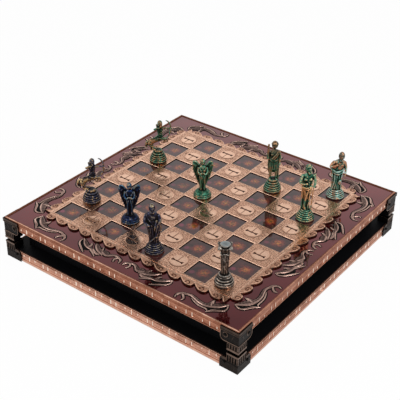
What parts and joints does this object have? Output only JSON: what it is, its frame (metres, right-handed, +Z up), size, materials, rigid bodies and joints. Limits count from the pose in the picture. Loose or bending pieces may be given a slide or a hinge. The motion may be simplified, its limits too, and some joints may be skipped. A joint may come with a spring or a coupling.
{
  "type": "chess board with drawers",
  "caption": "Square metal chess board with a relief border, on a low black case with drawers front and back and bronze corner castings, with cast figure chessmen on it.",
  "frame": {"origin": "middle of the case on the surface that it stands on", "axes": "+Z up, +X along the front, +Y from the front to the back"},
  "size_m": [0.4466, 0.4466, 0.169],
  "materials": {
    "bronze_pin": "antiqued",
    "black_lacquered_wood": "black lacquer",
    "copper_strip": "pressed, antiqued",
    "dark_bronze": "cast, dark patina",
    "black_felt": "felt",
    "pale_wood": "planed",
    "red_felt": "felt",
    "red_lacquer": "high gloss lacquer",
    "pale_copper": "polished relief, brown patina in the hollows",
    "dark_enamel": "clear dark red enamel",
    "relief_silver": "cast, antiqued",
    "man_silver": "worn silver grey",
    "man_blue": "dark blue patina over bronze",
    "man_green": "green patina over copper",
    "man_green_copper": "pale green patina over copper"
  },
  "bodies": {
    "case": {"base_board": "black_lacquered_wood", "base_strip_back": "copper_strip", "base_strip_front": "copper_strip", "base_strip_left": "copper_strip", "base_strip_right": "copper_strip", "case_divider": "black_lacquered_wood", "case_wall_left": "black_lacquered_wood", "case_wall_right": "black_lacquered_wood", "casting_pins": "bronze_pin", "corner_dolphins": "relief_silver", "corner_posts": "black_lacquered_wood", "dark_tiles": "dark_enamel", "drawer_runners": "pale_wood", "felt_feet": "black_felt", "lacquer_panel": "red_lacquer", "lower_casting_back_left": "dark_bronze", "lower_casting_back_right": "dark_bronze", "lower_casting_front_left": "dark_bronze", "lower_casting_front_right": "dark_bronze", "relief_plate": "pale_copper", "side_dolphins": "relief_silver", "top_board": "black_lacquered_wood", "top_strip_back": "copper_strip", "top_strip_front": "copper_strip", "top_strip_left": "copper_strip", "top_strip_right": "copper_strip", "upper_casting_back_left": "dark_bronze", "upper_casting_back_right": "dark_bronze", "upper_casting_front_left": "dark_bronze", "upper_casting_front_right": "dark_bronze"},
    "front_drawer": {"front_drawer_front": "black_lacquered_wood", "front_drawer_sides": "pale_wood", "front_drawer_back": "pale_wood", "front_drawer_bottom": "pale_wood", "front_drawer_lining": "red_felt", "front_drawer_ribs": "pale_wood"},
    "back_drawer": {"back_drawer_front": "black_lacquered_wood", "back_drawer_sides": "pale_wood", "back_drawer_back": "pale_wood", "back_drawer_bottom": "pale_wood", "back_drawer_lining": "red_felt", "back_drawer_ribs": "pale_wood"},
    "man_column": {"man_column": "man_silver", "man_column_felt": "black_felt"},
    "man_robed": {"man_robed": "man_blue", "man_robed_felt": "black_felt"},
    "man_winged_blue": {"man_winged_blue": "man_blue", "man_winged_blue_felt": "black_felt"},
    "man_archer_blue": {"man_archer_blue": "man_blue", "man_archer_blue_felt": "black_felt"},
    "man_archer_green": {"man_archer_green": "man_green", "man_archer_green_felt": "black_felt"},
    "man_winged_green": {"man_winged_green": "man_green", "man_winged_green_felt": "black_felt"},
    "man_raised_arm": {"man_raised_arm": "man_green", "man_raised_arm_felt": "black_felt"},
    "man_standing": {"man_standing": "man_green", "man_standing_felt": "black_felt"},
    "man_bearded": {"man_bearded": "man_green_copper", "man_bearded_felt": "black_felt"}
  },
  "joints": [
    {"name": "front_drawer_slide", "type": "slide", "parent": "case", "child": "front_drawer", "axis": [0, -1, 0], "range_m": [0, 0.15]},
    {"name": "back_drawer_slide", "type": "slide", "parent": "case", "child": "back_drawer", "axis": [0, 1, 0], "range_m": [0, 0.15]},
    {"name": "man_column_lift", "type": "slide", "parent": "case", "child": "man_column", "axis": [0, 0, 1], "range_m": [0, 0.12]},
    {"name": "man_robed_lift", "type": "slide", "parent": "case", "child": "man_robed", "axis": [0, 0, 1], "range_m": [0, 0.12]},
    {"name": "man_winged_blue_lift", "type": "slide", "parent": "case", "child": "man_winged_blue", "axis": [0, 0, 1], "range_m": [0, 0.12]},
    {"name": "man_archer_blue_lift", "type": "slide", "parent": "case", "child": "man_archer_blue", "axis": [0, 0, 1], "range_m": [0, 0.12]},
    {"name": "man_archer_green_lift", "type": "slide", "parent": "case", "child": "man_archer_green", "axis": [0, 0, 1], "range_m": [0, 0.12]},
    {"name": "man_winged_green_lift", "type": "slide", "parent": "case", "child": "man_winged_green", "axis": [0, 0, 1], "range_m": [0, 0.12]},
    {"name": "man_raised_arm_lift", "type": "slide", "parent": "case", "child": "man_raised_arm", "axis": [0, 0, 1], "range_m": [0, 0.12]},
    {"name": "man_standing_lift", "type": "slide", "parent": "case", "child": "man_standing", "axis": [0, 0, 1], "range_m": [0, 0.12]},
    {"name": "man_bearded_lift", "type": "slide", "parent": "case", "child": "man_bearded", "axis": [0, 0, 1], "range_m": [0, 0.12]}
  ]
}
